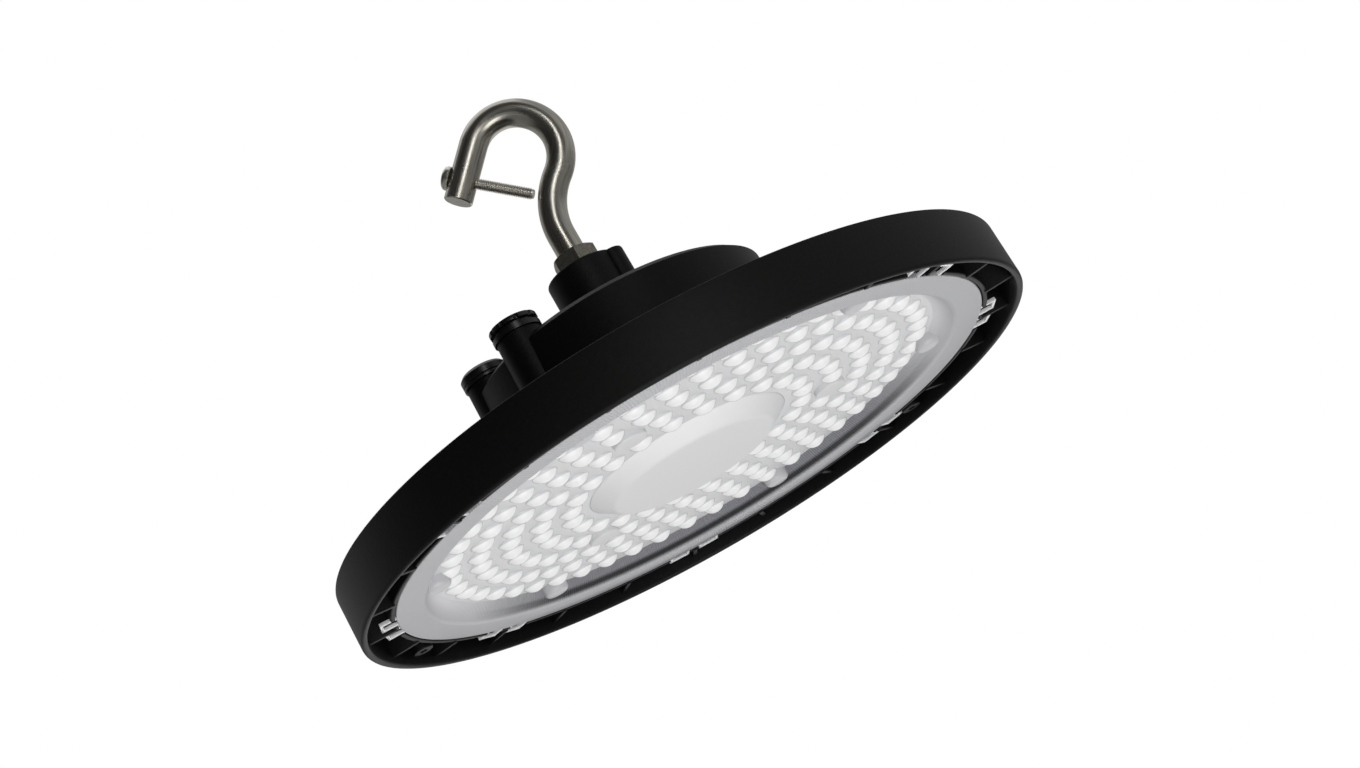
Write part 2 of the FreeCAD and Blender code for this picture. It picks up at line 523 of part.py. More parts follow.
up = FreeCAD.Vector(0, 0, 1)
path.addGeometry([
    Part.LineSegment(FreeCAD.Vector(0, val("hook_foot"), 0),
                     FreeCAD.Vector(0, val("neck_start"), 0)),
    bend(FreeCAD.Vector(val("neck_radius"), val("neck_start"), 0), "neck_radius",
         180 - val("neck_bend"), 180),
    bend(flat(loop_middle), "loop_radius", -val("neck_bend"), val("crown_turn")),
    bend(flat(crown_middle), "crown_radius", val("crown_turn"), loop_end),
    Part.LineSegment(flat(leg_start), flat(leg_start + leg_way * val("tip_length")))], False)
pin_point(path, 0, 1, "0", "hook_foot")
pin_point(path, 2, 3, LOOP_X, LOOP_Z)
for first, end, second, start in ((0, 2, 1, 2), (1, 1, 2, 1), (2, 2, 3, 1), (3, 2, 4, 1)):
    path.addConstraint(Sketcher.Constraint("Tangent", first, end, second, start))
for geo, size in ((1, "neck_radius"), (2, "loop_radius"), (3, "crown_radius")):
    k = path.addConstraint(Sketcher.Constraint("Radius", geo, val(size)))
    path.setExpression("Constraints[%d]" % k, bound(size))
k = path.addConstraint(Sketcher.Constraint("Distance", 4, val("tip_length")))
path.setExpression("Constraints[%d]" % k, bound("tip_length"))
CROWN_X = LOOP_X + " + loop_radius * cos(crown_turn)"
k = path.addConstraint(Sketcher.Constraint("DistanceX", -1, 1, 2, 2, val(CROWN_X)))
path.setExpression("Constraints[%d]" % k, bound(CROWN_X))
path.addConstraint(Sketcher.Constraint("Vertical", 0))
rod_round = circles(rod, "RodRound", [("0", "hook_rod")], "hook_foot")
sweep = rod.newObject("PartDesign::AdditivePipe", "Rod")
sweep.Profile = rod_round
sweep.Spine = path
doc.recompute()


def drill(name, radius, way, start, length):
    tool = doc.addObject("Part::Cylinder", name)
    tool.Radius = val(radius)
    tool.setExpression("Radius", bound(radius))
    tool.Height = length
    tool.Placement = FreeCAD.Placement(start, FreeCAD.Rotation(up, way))
    return tool


cross = drill("GateHole", "gate_radius + screw_play", gate_way, gate_middle - gate_way * 10, 20)
spot = drill("GateSpot", "gate_head_radius + 0.3", gate_way,
             gate_middle + gate_way * val("gate_seat"), 6)
tools = doc.addObject("Part::MultiFuse", "GateTools")
tools.Shapes = [cross, spot]
hook = doc.addObject("Part::Cut", "hook")
hook.Base = rod
hook.Tool = tools

# Closing screw across the hook's mouth, drawn along its own axis and then placed
gate = new_body("gate_screw")
revolve(gate, "Screw", [
    ("0", "-gate_length"), ("gate_radius - 0.5", "-gate_length"),
    ("gate_radius", "-gate_length + 0.5"), ("gate_radius", "0"), ("gate_head_radius", "0"),
    ("gate_head_radius", "gate_head_height - 1.4"),
    ("gate_head_radius - 1", "gate_head_height - 0.3"),
    ("gate_head_radius - 2.4", "gate_head_height"), ("0", "gate_head_height")])
pocket(gate, "Drive", outline(gate, "DriveHex", [
    ("gate_drive_radius * %.5f" % math.cos(math.pi * i / 3),
     "gate_drive_radius * %.5f" % math.sin(math.pi * i / 3)) for i in range(6)],
    "XY_Plane", "gate_head_height + 1"), "gate_drive_depth + 1")
gate.Placement = FreeCAD.Placement(gate_middle + gate_way * val("gate_seat"),
                                   FreeCAD.Rotation(up, gate_way))

nut = new_body("hook_nut")
extrude(nut, "Hex", outline(nut, "HexFlats", [
    ("nut_flats * %.6f" % (math.cos(math.pi * i / 3) / math.sqrt(3)),
     "nut_flats * %.6f" % (math.sin(math.pi * i / 3) / math.sqrt(3)))
    for i in range(6)], "XY_Plane", "boss_top", "nut_turn"), "nut_height")
pocket(nut, "Bore", circles(nut, "BoreRound", [("0", "hook_rod + screw_play")],
                            "boss_top + nut_height + 1"), "nut_height + 2")
for name, edge, sign in (("TopBevel", "boss_top + nut_height", "-"), ("FootBevel", "boss_top", "+")):
    groove(nut, name, [("nut_flats / 2 + 2.5", edge),
                       ("nut_flats / 2 - 0.2", edge),
                       ("nut_flats / 2 + 2.5", edge + " " + sign + " nut_bevel * 1.4")])

lock = new_body("hook_lock_screw")
extrude(lock, "Grub", circles(lock, "GrubRound", [("lobe_reach", "lock_radius")],
                              "lock_foot + 1", "lobe_turn"),
        "lobe_top - lock_sink - lock_foot - 1")
pocket(lock, "Drive", circles(lock, "DriveRound", [("lobe_reach", "lock_drive")],
                              "lobe_top + 1", "lobe_turn"), "lock_sink + 3.5")

# Cable ports: a gland without a cable on one column, a screwed plug on the other
gland = new_body("gland_body")
revolve(gland, "Body", [
    ("4.9", "60.5"), ("port_bore - screw_play", "60.5"), ("port_bore - screw_play", "port_seat_b"),
    ("port_radius", "port_seat_b"), ("port_radius", "port_seat_b + 1.5"),
    ("8.2", "port_seat_b + 1.5"), ("8.2", "port_seat_b + 4"), ("4.9", "port_seat_b + 4")])
bush = new_body("gland_bush")
revolve(bush, "Bush", [("3.6", "66"), ("4.85", "66"), ("4.85", "port_seat_b + 4.4"),
                       ("3.6", "port_seat_b + 4.4")])
cap = new_body("gland_nut")
revolve(cap, "Cap", [
    ("8.25", "port_seat_b + 1.7"), ("port_radius", "port_seat_b + 1.7"),
    ("port_radius", "port_seat_b + 4.5"), ("port_radius - 1.5", "port_seat_b + 6"),
    ("4.2", "port_seat_b + 6"), ("4.2", "port_seat_b + 4.4"), ("8.25", "port_seat_b + 4.4")])
for part in (gland, bush, cap):
    turned = polar_point(val("port_ring_b"), val("port_turn_b"), 0)
    part.Placement = FreeCAD.Placement(turned, FreeCAD.Rotation(up, val("port_turn_b")))

plug = new_body("port_plug")
revolve(plug, "Plug", [
    ("0", "62"), ("port_bore - screw_play", "62"), ("port_bore - screw_play", "port_seat_a"),
    ("port_radius", "port_seat_a"), ("port_radius", "port_seat_a + 2"),
    ("port_radius - 1.5", "port_seat_a + 2.3"), ("port_radius - 1.5", "port_seat_a + 3.5"),
    ("port_radius", "port_seat_a + 3.8"), ("port_radius", "port_seat_a + 5.4"),
    ("port_radius - 0.7", "port_seat_a + 6"), ("0", "port_seat_a + 6")])
notch = pocket(plug, "Notch", circles(plug, "NotchRound", [("port_radius + 0.6", "1.3")],
                                      "port_seat_a + 7"), "3.3")
around(plug, "Notches", [notch], "10")
pocket(plug, "Slot", outline(plug, "SlotRect", [("-6", "-0.8"), ("6", "-0.8"), ("6", "0.8"),
                                                ("-6", "0.8")], "XY_Plane", "port_seat_a + 7"), "3")
plug.Placement = FreeCAD.Placement(polar_point(val("port_ring_a"), val("port_turn_a"), 0),
                                   FreeCAD.Rotation(up, val("port_turn_a")))
rings = new_body("port_o_rings")
for side in ("a", "b"):
    extrude(rings, "Ring_" + side, circles(rings, "RingRound_" + side, [
        ("port_ring_" + side, "o_ring_outer"), ("port_ring_" + side, "o_ring_inner")],
        "port_seat_" + side + " - o_ring_depth", "port_turn_" + side), "o_ring_depth")

NODES = ["heat_sink", "lens_plate", "lens_gasket", "led_board", "thermal_pad", "leds",
         "board_screws", "led_connector", "led_leads", "driver_housing", "housing_gasket",
         "housing_screws", "driver_tray", "driver_board", "driver_screws", "transformer",
         "input_terminals", "choke", "capacitors", "hook", "gate_screw", "hook_nut",
         "hook_lock_screw", "gland_body", "gland_bush", "gland_nut", "port_plug",
         "port_o_rings"]
doc.recompute()
for item in doc.Objects:
    if "Invalid" in item.State or "Error" in item.State:
        raise RuntimeError(item.Name + " failed: " + ", ".join(item.State))
for label in NODES:
    item = doc.getObjectsByLabel(label)[0]
    if item.Shape.isNull() or not item.Shape.isValid():
        raise RuntimeError(label + " has no valid shape")
    item.Shape.exportStep("parts/" + label + ".step")
    print(label, len(item.Shape.Solids), "solids", round(item.Shape.Volume), "mm3")
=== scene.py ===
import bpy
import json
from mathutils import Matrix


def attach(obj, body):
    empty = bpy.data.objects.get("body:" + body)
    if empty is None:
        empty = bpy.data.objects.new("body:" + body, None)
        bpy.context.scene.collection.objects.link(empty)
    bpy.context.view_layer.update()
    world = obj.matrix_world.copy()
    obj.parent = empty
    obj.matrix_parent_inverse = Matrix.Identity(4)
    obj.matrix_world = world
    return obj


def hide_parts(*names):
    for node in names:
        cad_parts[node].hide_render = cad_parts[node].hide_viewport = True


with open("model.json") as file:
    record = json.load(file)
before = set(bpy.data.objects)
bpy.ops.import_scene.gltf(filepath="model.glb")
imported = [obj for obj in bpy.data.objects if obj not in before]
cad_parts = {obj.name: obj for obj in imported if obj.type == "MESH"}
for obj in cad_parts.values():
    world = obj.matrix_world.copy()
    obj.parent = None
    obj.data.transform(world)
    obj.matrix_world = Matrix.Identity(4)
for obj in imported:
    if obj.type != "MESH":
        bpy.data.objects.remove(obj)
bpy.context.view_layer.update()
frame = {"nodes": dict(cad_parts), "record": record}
import json
import math

import bmesh
import bpy
from mathutils import Matrix, Vector

MM = 0.001
TAU = 2 * math.pi
LIGHT = "light"
SCREW = "closing_screw"
WELD = 1e-6

# Centres of the hook's lower and upper bend, mm
NECK_CENTRE = (33.3, 0, 120.2)
CROWN_CENTRE = (-0.07, 0, 164)


def linear(code):
    """Linear RGBA of a #rrggbb colour given in sRGB."""
    parts = [int(code[i:i + 2], 16) / 255 for i in (1, 3, 5)]
    return tuple(c / 12.92 if c <= 0.04045 else ((c + 0.055) / 1.055) ** 2.4
                 for c in parts) + (1.0,)


def add(tree, kind, settings=None, sockets=None, feeds=None):
    """Add one node with its settings, constant socket values and incoming links."""
    node = tree.nodes.new(kind)
    for key, item in (settings or {}).items():
        setattr(node, key, item)
    for key, item in (sockets or {}).items():
        node.inputs[key].default_value = item
    for key, item in (feeds or {}).items():
        tree.links.new(item, node.inputs[key])
    return node


def start(name):
    """A new empty material, its node tree and its Object coordinates."""
    mat = bpy.data.materials.new(name)
    mat.use_nodes = True
    mat.node_tree.nodes.clear()
    return mat, mat.node_tree, add(mat.node_tree, "ShaderNodeTexCoord").outputs["Object"]


def close(tree, shader):
    """Lead a shader to the surface output."""
    add(tree, "ShaderNodeOutputMaterial", feeds={"Surface": shader.outputs[0]})


def grain(tree, coords, size_mm, detail=3.0):
    """Noise whose grains are about size_mm across."""
    return add(tree, "ShaderNodeTexNoise", sockets={"Scale": 1 / (size_mm * MM),
               "Detail": detail}, feeds={"Vector": coords}).outputs[0]


def blend_tones(tree, factor, tones, stops=(0.3, 0.7)):
    """Run from the first tone to the second as a value passes the two stops."""
    ramp = add(tree, "ShaderNodeValToRGB", feeds={"Fac": factor})
    for stop, place, tone in zip(ramp.color_ramp.elements, stops, tones):
        stop.position = place
        stop.color = linear(tone)
    return ramp.outputs["Color"]


def emboss(tree, shader, height, strength, depth_mm):
    """Give a shader a relief of a depth in mm."""
    bump = add(tree, "ShaderNodeBump", sockets={
        "Strength": strength, "Distance": depth_mm * MM}, feeds={"Height": height})
    tree.links.new(bump.outputs[0], shader.inputs["Normal"])


def coated(name, tones, rough, metal=0.0, size_mm=1.0, relief=0.0, gloss=0.5):
    """A surface with a mottled colour and a fine relief of the same grain."""
    mat, tree, coords = start(name)
    noise = grain(tree, coords, size_mm)
    shader = add(tree, "ShaderNodeBsdfPrincipled", sockets={
        "Base Color": linear(tones[0]), "Roughness": rough, "Metallic": metal,
        "Specular IOR Level": gloss}, feeds={"Base Color": blend_tones(tree, noise, tones)})
    if relief:
        emboss(tree, shader, noise, relief, 0.2)
    close(tree, shader)
    return mat


def fade(tree, value, low, high):
    """Smooth step of a value from 0 at low to 1 at high."""
    return add(tree, "ShaderNodeMapRange", {"interpolation_type": "SMOOTHSTEP"}, {
        "From Min": low, "From Max": high}, {0: value}).outputs[0]


def maths(tree, kind, first, *others):
    """Join values with one kind of sum; plain numbers are put on the sockets."""
    for item in others:
        node = add(tree, "ShaderNodeMath", {"operation": kind}, feeds={0: first})
        if isinstance(item, float):
            node.inputs[1].default_value = item
        else:
            tree.links.new(item, node.inputs[1])
        first = node.outputs[0]
    return first


def lay_over(tree, tone, mask, code):
    """Cover a tone with a colour where a mask is 1."""
    return add(tree, "ShaderNodeMix", {"data_type": "RGBA"}, {7: linear(code)},
               {0: mask, 6: tone}).outputs[2]


def moat_painted_light_and_shade(tree, tone, split):
    """The moat's slope takes painted light: a painted dark streak at the far side, painted shade
    on its far wall and the flange's far outer zone, and a painted pale tone elsewhere.
    """
    reach = maths(tree, "SQRT", maths(tree, "ADD", maths(tree, "POWER", split[0], 2.0),
                                      maths(tree, "POWER", split[1], 2.0)), 0.0)
    far = fade(tree, split[1], 30 * MM, 95 * MM)
    # Painted light: a pale tone on the near slope that brightens its shaded face
    painted_near_light = maths(tree, "MULTIPLY", fade(tree, reach, 121 * MM, 114.5 * MM),
                 fade(tree, split[1], 70 * MM, 0.0))
    # Painted shade on the moat's far wall
    wall = maths(tree, "MULTIPLY", fade(tree, reach, 118.4 * MM, 117.4 * MM), far)
    # Painted shade on the flange's outer zone at the far side
    outer_painted_shade = maths(tree, "MULTIPLY", fade(tree, reach, 125.5 * MM, 132 * MM),
                  fade(tree, split[1], 70 * MM, 120 * MM))
    # Painted dark streak in the moat at the far side
    painted_dark_streak = maths(tree, "MULTIPLY", fade(tree, reach, 120.8 * MM, 119 * MM),
                   fade(tree, reach, 116.9 * MM, 118.2 * MM), far)
    # Lay the painted light and shade over the tone
    for mask, code in ((painted_near_light, "#ededf0"), (wall, "#85858b"), (outer_painted_shade, "#85858b"),
                       (painted_dark_streak, "#1c1c20")):
        tone = lay_over(tree, tone, mask, code)
    return tone


def lens_material(name, face, edge, rough, lines=0, edge_from=0.55, moat=False):
    """Moulded clear plastic drawn opaque with painted light: the face tone turns to a darker
    edge tone at grazing angles, a painted view-dependent shade standing in for what lies behind
    it, and radial lines run over it where asked."""
    mat, tree, coords = start(name)
    # Painted shade: the tone darkens from the face tone to the edge tone as the view grazes the
    # surface
    facing = add(tree, "ShaderNodeLayerWeight", sockets={"Blend": 0.5}).outputs["Facing"]
    tone = blend_tones(tree, facing, (face, edge), (edge_from, 0.98))
    split = add(tree, "ShaderNodeSeparateXYZ", feeds={"Vector": coords}).outputs
    # Where asked, painted light and shade go on the moat
    if moat:
        tone = moat_painted_light_and_shade(tree, tone, split)
    shader = add(tree, "ShaderNodeBsdfPrincipled", sockets={
        "Roughness": rough, "IOR": 1.5}, feeds={"Base Color": tone})
    if lines:
        angle = maths(tree, "ARCTAN2", split[1], split[0])
        wave = maths(tree, "SINE", maths(tree, "MULTIPLY", angle, float(lines)), 0.0)
        emboss(tree, shader, wave, 0.8, 0.2)
    close(tree, shader)
    return mat


def dome_material(name):
    """Clear lenslets over a white board, drawn with painted light: their near slopes take the
    plate's tone, from the crown on a painted highlight runs up to a thin painted grey outline at
    grazing angles, and the same tone glows faintly as a painted glow."""
    mat, tree, coords = start(name)
    facing = add(tree, "ShaderNodeLayerWeight", sockets={"Blend": 0.5}).outputs["Facing"]
    normal = add(tree, "ShaderNodeSeparateXYZ", feeds={
        "Vector": coords.node.outputs["Normal"]}).outputs[2]
    # Painted highlight: the tone turns bright by view angle and normal from the crown on
    gather = maths(tree, "SUBTRACT", maths(tree, "MULTIPLY", facing, 0.28), normal)
    # Painted shade: a thin grey outline where the view grazes the lenslet
    outline = fade(tree, facing, 0.68, 0.94)
    tone = lay_over(tree, blend_tones(tree, gather, ("#d0d0d2", "#f4f4f4"), (0.65, 0.73)),
                    outline, "#8e8e92")
    # Emission paints a faint glow of the lenslet tone; the lens is no lamp
    shader = add(tree, "ShaderNodeBsdfPrincipled", sockets={
        "Roughness": 0.3, "IOR": 1.5, "Emission Strength": 0.06},
        feeds={"Base Color": tone, "Emission Color": tone})
    close(tree, shader)
    return mat


def vector_maths(tree, kind, first, other):
    """One sum of two vectors; a plain one is put on the socket."""
    plain = isinstance(other, tuple)
    return add(tree, "ShaderNodeVectorMath", {"operation": kind}, {1: other} if plain else None,
               {0: first} if plain else {0: first, 1: other}).outputs


def follow(tree, flat_place, centre, way):
    """Distance from a bend's centre in the XZ plane, kept straight past the bend's end."""
    arm = vector_maths(tree, "SUBTRACT", flat_place, tuple(v * MM for v in centre))[0]
    along = vector_maths(tree, "DOT_PRODUCT", arm, way)["Value"]
    past = maths(tree, "MAXIMUM", along, 0.0)
    excess = add(tree, "ShaderNodeVectorMath", {"operation": "SCALE"}, {0: way},
                 {"Scale": past}).outputs[0]
    rest = vector_maths(tree, "SUBTRACT", arm, excess)[0]
    return add(tree, "ShaderNodeVectorMath", {"operation": "LENGTH"},
               feeds={0: rest}).outputs["Value"]


def rod_material(name):
    """Brushed stainless rod whose fine drawing marks run along its bends."""
    mat, tree, coords = start(name)
    split = add(tree, "ShaderNodeSeparateXYZ", feeds={"Vector": coords}).outputs
    flat_place = add(tree, "ShaderNodeCombineXYZ", feeds={
        "X": split[0], "Z": split[2]}).outputs[0]
    neck = follow(tree, flat_place, NECK_CENTRE, (0, 0, -1))
    crown = follow(tree, flat_place, CROWN_CENTRE, (-0.6756, 0, -0.7373))
    upper = add(tree, "ShaderNodeMapRange", sockets={"From Min": 143 * MM, "From Max": 148 * MM},
                feeds={0: split[2]}).outputs[0]
    reach = add(tree, "ShaderNodeMix", {"data_type": "FLOAT"}, feeds={
        0: upper, 2: neck, 3: crown}).outputs[0]
    slow = maths(tree, "MULTIPLY", maths(tree, "ADD", split[0], split[2]), 0.03)
    marks = grain(tree, add(tree, "ShaderNodeCombineXYZ", feeds={
        "X": reach, "Y": split[1], "Z": slow}).outputs[0], 0.7, 4.0)
    rough = add(tree, "ShaderNodeMapRange", sockets={"To Min": 0.24, "To Max": 0.32},
                feeds={0: grain(tree, coords, 9.0, 2.0)}).outputs[0]
    shader = add(tree, "ShaderNodeBsdfPrincipled", sockets={"Metallic": 1.0}, feeds={
        "Base Color": blend_tones(tree, marks, ("#96938a", "#c6c3b9")), "Roughness": rough})
    emboss(tree, shader, marks, 0.03, 0.05)
    close(tree, shader)
    return mat


def clear_material(name):
    """Clear plastic in thin sections with bright edges."""
    mat, tree, coords = start(name)
    shader = add(tree, "ShaderNodeBsdfPrincipled", sockets={
        "Base Color": linear("#f8f8fa"), "Roughness": 0.14, "IOR": 1.58,
        "Transmission Weight": 0.12})
    emboss(tree, shader, grain(tree, coords, 2.0), 0.3, 0.3)
    close(tree, shader)
    return mat


MATS = {
    "black_coat": coated("black_coat", ("#050505", "#0b0b0a"), 0.5, size_mm=0.9, relief=0.35,
                         gloss=0.2),
    "gland_black": coated("gland_black", ("#070707", "#0e0e0e"), 0.34, size_mm=1.2, relief=0.06),
    # The lens tones darken at grazing angles, a painted shade; the lenslets carry a painted
    # highlight, a painted outline and a painted glow
    "clear_lens": lens_material("clear_lens", "#c3c3c6", "#b3b3b7", 0.34, 640, 0.6, True),
    "lens_floor": lens_material("lens_floor", "#dcdcdd", "#d0d0d2", 0.4),
    "lens_dome": dome_material("lens_dome"),
    "lens_cap": lens_material("lens_cap", "#f2f2f2", "#d6d6d8", 0.5, edge_from=0.25),
    "lens_cover": lens_material("lens_cover", "#c6c6c9", "#b2b2b6", 0.3),
    "lens_tab": clear_material("lens_tab"),
    "seal_rubber": coated("seal_rubber", ("#101010", "#1a1a1a"), 0.7, size_mm=2.0, relief=0.1),
    "board_white": coated("board_white", ("#e8e8e6", "#f2f2f0"), 0.45, size_mm=6.0),
    "pad_grey": coated("pad_grey", ("#7d7f86", "#8b8d94"), 0.8, size_mm=1.5, relief=0.2),
    "led_phosphor": coated("led_phosphor", ("#e2c85a", "#f0dc7a"), 0.4, size_mm=0.8),
    "screw_steel": coated("screw_steel", ("#c2bfb7", "#dedbd4"), 0.34, 1.0, 0.8, 0.04),
    "connector_white": coated("connector_white", ("#dcdcd4", "#e8e8e2"), 0.5, size_mm=3.0),
    "lead_red": coated("lead_red", ("#a01512", "#b82420"), 0.4, size_mm=2.0),
    "tray_white": coated("tray_white", ("#d2d2cc", "#dededa"), 0.6, size_mm=4.0, relief=0.05),
    "card_green": coated("card_green", ("#0d4a20", "#125c2a"), 0.35, size_mm=3.0),
    "coil_yellow": coated("coil_yellow", ("#c9a128", "#d9b440"), 0.5, size_mm=2.5, relief=0.1),
    "ferrite": coated("ferrite", ("#26262a", "#36363a"), 0.6, size_mm=1.0, relief=0.2),
    "can_black": coated("can_black", ("#101018", "#191922"), 0.3, size_mm=5.0),
    "hook_steel": rod_material("hook_steel"),
    "nut_steel": coated("nut_steel", ("#75736a", "#97948a"), 0.45, 1.0, 1.2, 0.08),
    "screw_black": coated("screw_black", ("#131313", "#1f1f1f"), 0.35, 0.8, 1.0),
}


def soften(points, radii, steps=4):
    """Round each corner of a closed outline by its radius."""
    out = []
    count = len(points)
    for i, (point, radius) in enumerate(zip(points, radii)):
        p = Vector(point)
        before = Vector(points[i - 1]) - p
        after = Vector(points[(i + 1) % count]) - p
        if radius <= 0 or before.length < WELD or after.length < WELD:
            out.append(p)
            continue
        half = before.angle(after) / 2
        reach = min(radius / math.tan(half), before.length * 0.49, after.length * 0.49)
        one = p + before.normalized() * reach
        two = p + after.normalized() * reach
        for k in range(steps + 1):
            u = k / steps
            out.append(one.lerp(p, u).lerp(p.lerp(two, u), u))
    return [(v.x, v.y) for v in out]


def finish_mesh(name, bm, material, body, sharp=34, hide=()):
    """Turn a bmesh into a smooth-shaded piece that rides on a body."""
    bmesh.ops.remove_doubles(bm, verts=bm.verts, dist=WELD)
    bmesh.ops.recalc_face_normals(bm, faces=bm.faces)
    mesh = bpy.data.meshes.new(name)
    bm.to_mesh(mesh)
    bm.free()
    mesh.polygons.foreach_set("use_smooth", [True] * len(mesh.polygons))
    mesh.set_sharp_from_angle(angle=math.radians(sharp))
    obj = bpy.data.objects.new(name, mesh)
    bpy.context.scene.collection.objects.link(obj)
    mesh.materials.append(MATS[material])
    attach(obj, body)
    if hide:
        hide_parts(*hide)


def spin(bm, outline, segments, centre=(0, 0)):
    """Revolve a closed outline of (radius, height) in mm about a vertical axis."""
    ring = [bm.verts.new(((centre[0] + r) * MM, centre[1] * MM, z * MM)) for r, z in outline]
    edges = [bm.edges.new((ring[i], ring[(i + 1) % len(ring)])) for i in range(len(ring))]
    bmesh.ops.spin(bm, geom=edges, cent=(centre[0] * MM, centre[1] * MM, 0), axis=(0, 0, 1),
                   angle=TAU, steps=segments, use_merge=True)


def loops(bm, rings, caps=True):
    """Skin a list of equal rings of points, closing the two ends where asked."""
    rows = [[bm.verts.new(p) for p in ring] for ring in rings]
    for low, high in zip(rows, rows[1:]):
        for i in range(len(low)):
            j = (i + 1) % len(low)
            bm.faces.new((low[i], low[j], high[j], high[i]))
    if caps:
        bm.faces.new(rows[0][::-1])
        bm.faces.new(rows[-1])


def thicken(bm, points, way, bevel):
    """Make a flat face of points into a body by a way, with its edges rounded by bevel mm."""
    face = bm.faces.new([bm.verts.new(p) for p in points])
    made = bmesh.ops.extrude_face_region(bm, geom=[face])["geom"]
    moved = [g for g in made if isinstance(g, bmesh.types.BMVert)]
    bmesh.ops.translate(bm, verts=moved, vec=way)
    edges = {e for v in moved + list(face.verts) for e in v.link_edges}
    bmesh.ops.bevel(bm, geom=list(edges), offset=bevel * MM, segments=2, affect="EDGES",
                    profile=0.5)


def slab(bm, outline, width, azimuth):
    """A fin: an outline of (radius, height) made width mm thick, standing at an azimuth."""
    turn = Matrix.Rotation(math.radians(azimuth), 4, "Z")
    thicken(bm, [turn @ Vector((r * MM, -width / 2 * MM, z * MM)) for r, z in outline],
            turn.to_3x3() @ Vector((0, width * MM, 0)), 0.35)


def hoop(radius, height, count):
    """A level ring of points about the Z axis, from sizes in mm."""
    return [Vector((radius * math.cos(TAU * i / count), radius * math.sin(TAU * i / count),
                    height)) * MM for i in range(count)]


def place(reach, azimuth):
    """The (x, y) at a distance from the axis and an azimuth in degrees."""
    a = math.radians(azimuth)
    return reach * math.cos(a), reach * math.sin(a)


def piece(name, outline, radii, material, segments, hide=(), centre=(0, 0), sharp=34):
    """One turned piece of the light, with its outline's corners rounded by radii."""
    bm = bmesh.new()
    spin(bm, soften(outline, radii), segments, centre)
    finish_mesh(name, bm, material, LIGHT, sharp, hide)


# Heat sink casting: band, lens pocket with deck, fins with ribs, and guard bosses
piece("band", [(147, 0), (150, 0), (150, 22.8), (147, 22.8)], [1.5, 1.9, 0.6, 0.5],
      "black_coat", 384, hide=["heat_sink"])
piece("deck", [(8, 18), (123.5, 18), (123.5, 8.3), (133.7, 8.3), (133.7, 6.4), (135.7, 6.4),
               (135.7, 22), (72, 22), (72, 27), (52, 27), (52, 22), (8, 22)],
      [0.3, 0, 0.4, 0.3, 0.2, 0.2, 1, 0.5, 0.6, 0.6, 0.5, 0.3], "black_coat", 288)
TABS = 8
TAB_STEP = 360 / TABS
WALL_SPANS = ((7.34, 9.26), (13.74, 47.86))
WALL = soften([(133.7, 6.5), (133.7, 4.2), (135.7, 4.2), (135.7, 6.5)], [0, 0.7, 0.7, 0])
wall = bmesh.new()
for k in range(TABS):
    for first, last in ((TAB_STEP * k + a, TAB_STEP * k + b) for a, b in WALL_SPANS):
        count = max(2, round(last - first))
        rings = []
        for i in range(count + 1):
            x, y = place(1, first + (last - first) * i / count)
            rings.append([Vector((r * x, r * y, z)) * MM for r, z in WALL])
        loops(wall, rings)
finish_mesh("pocket_wall", wall, "black_coat", LIGHT)
FINS = 24
FIN_STEP = 360 / FINS
FIN_WIDTH = 2.2
LONG_FIN_FIRST, SHORT_FIN_FIRST = 8.25, 0.75
fins = bmesh.new()
for k in range(FINS):
    slab(fins, [(71, 21), (134.7, 21), (134.7, 3.6), (148.5, 3.6), (148.5, 21.6),
                (133.7, 24), (73, 46), (72.2, 46), (72.2, 27), (71, 27)],
         FIN_WIDTH, LONG_FIN_FIRST + FIN_STEP * k)
    slab(fins, [(71, 21), (128, 21), (126, 24), (73, 44.5), (72.2, 44.5), (72.2, 27),
                (71, 27)], FIN_WIDTH, SHORT_FIN_FIRST + FIN_STEP * k)
finish_mesh("fins", fins, "black_coat", LIGHT)
GUARD_CIRCLE = 141
GUARD_FIRST = 46
BOSS_WIDTH = 9.2
bosses = bmesh.new()
for k in range(3):
    turn = GUARD_FIRST + 120 * k
    spot = place(GUARD_CIRCLE, turn)
    spin(bosses, soften([(1.65, 3.6), (4.6, 3.6), (4.6, 21.6), (1.65, 21.6)],
                        [0.3, 0.6, 0.3, 0.3]), 40, spot)
    spin(bosses, [(0, 15.6), (1.7, 15.6), (1.7, 16.2), (0, 16.2)], 24, spot)
    slab(bosses, [(134.7, 11), (148.5, 11), (148.5, 21.6), (134.7, 21.6)], BOSS_WIDTH, turn)
finish_mesh("guard_bosses", bosses, "black_coat", LIGHT)

# Lens moulding
BLANK_RING = 67.0
BLANK_WIDTH = 5
BLANKS = [16.1 + 120 * k for k in range(3)]
LENSLET_RINGS = [(107.0, 48, 0.8), (94.0, 42, 7.2), (80.5, 36, 4.9), (BLANK_RING, 30, 4.1),
                 (53.5, 24, 0.6)]


def lens_places():
    """The distance and azimuth of each lenslet, with none where a ring has a flat blank."""
    for reach, count, first in LENSLET_RINGS:
        for k in range(count):
            azimuth = first + 360 * k / count
            near_blank = any(abs((azimuth - b + 180) % 360 - 180) < BLANK_WIDTH
                             for b in BLANKS)
            if reach != BLANK_RING or not near_blank:
                yield reach, azimuth


